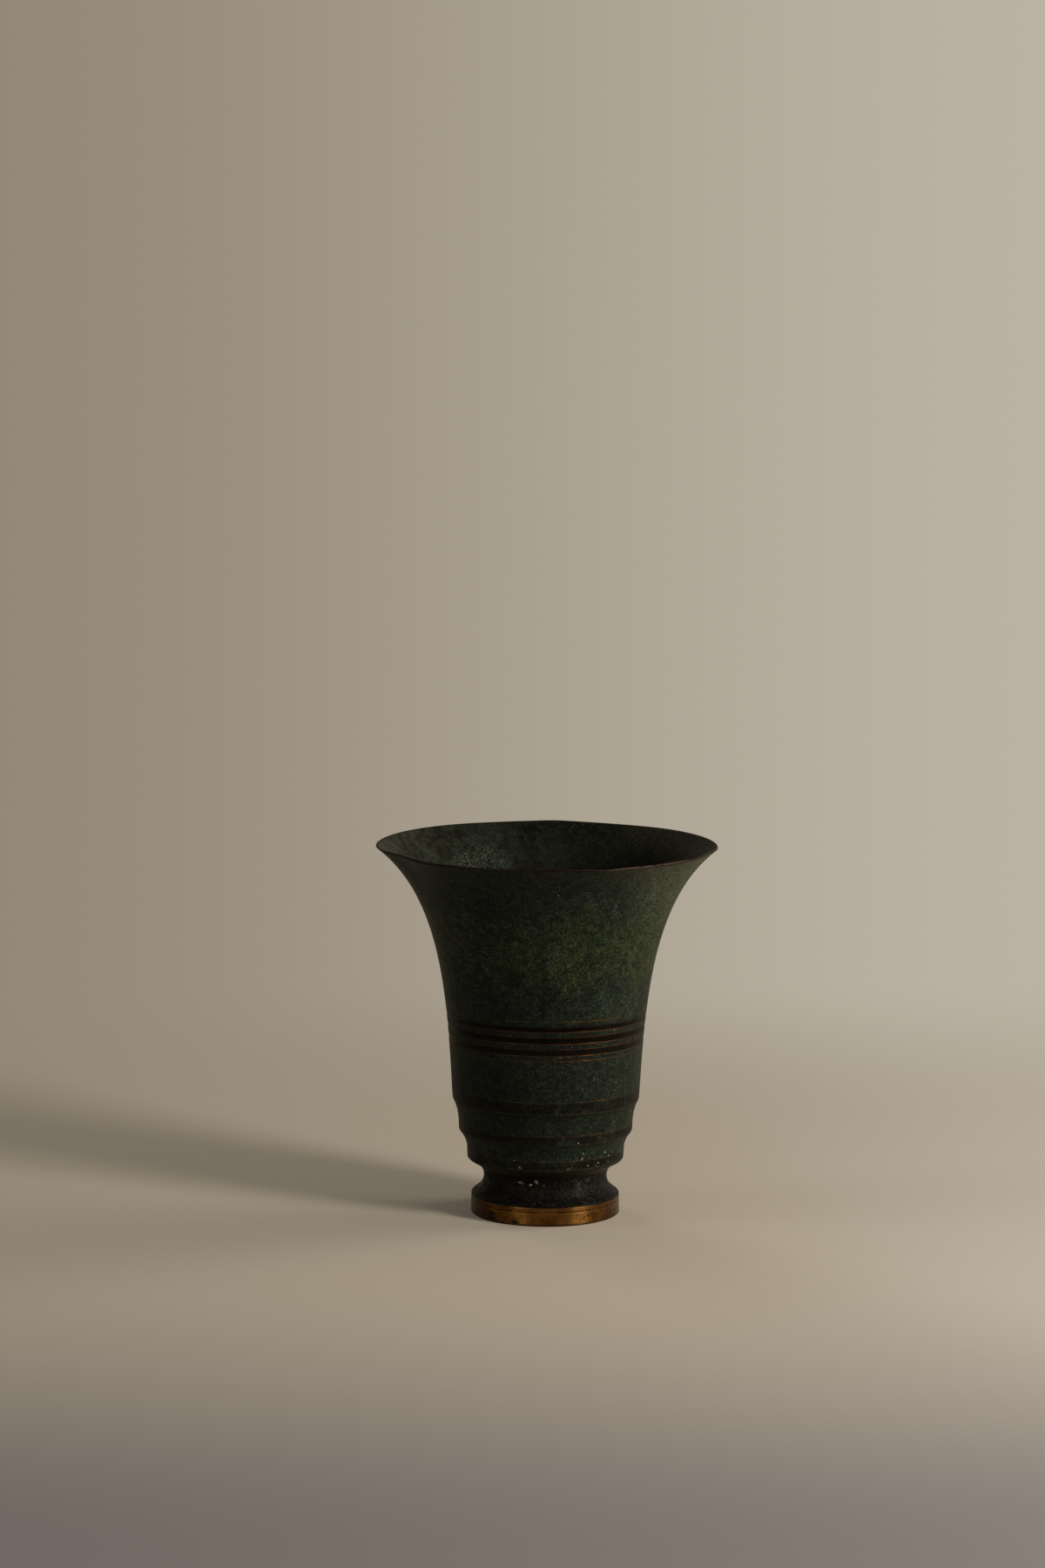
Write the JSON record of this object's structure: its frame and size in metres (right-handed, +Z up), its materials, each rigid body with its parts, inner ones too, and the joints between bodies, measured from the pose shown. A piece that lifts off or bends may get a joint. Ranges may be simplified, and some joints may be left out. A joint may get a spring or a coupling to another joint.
{
  "type": "vase",
  "caption": "Patinated bronze trumpet vase with a flared mouth, banded trunk and tiered base on a waisted foot with a brass ring.",
  "frame": {"origin": "on the table, at the middle of the foot", "axes": "+Z up along the vase's axis of revolution"},
  "size_m": [0.156, 0.156, 0.1707],
  "materials": {
    "green_patina": "mottled dark green patina on turned bronze, brown in the bands, worn bright along edges",
    "black_patina": "smooth black-brown patina, satin",
    "bare_brass": "handled bare brass with dark blemishes",
    "solder": "dull soft solder"
  },
  "bodies": {
    "root": {"vase_body": "green_patina", "foot": "black_patina", "foot_ring": "bare_brass", "neck_solder": "solder", "ring_solder": "solder"}
  },
  "joints": []
}
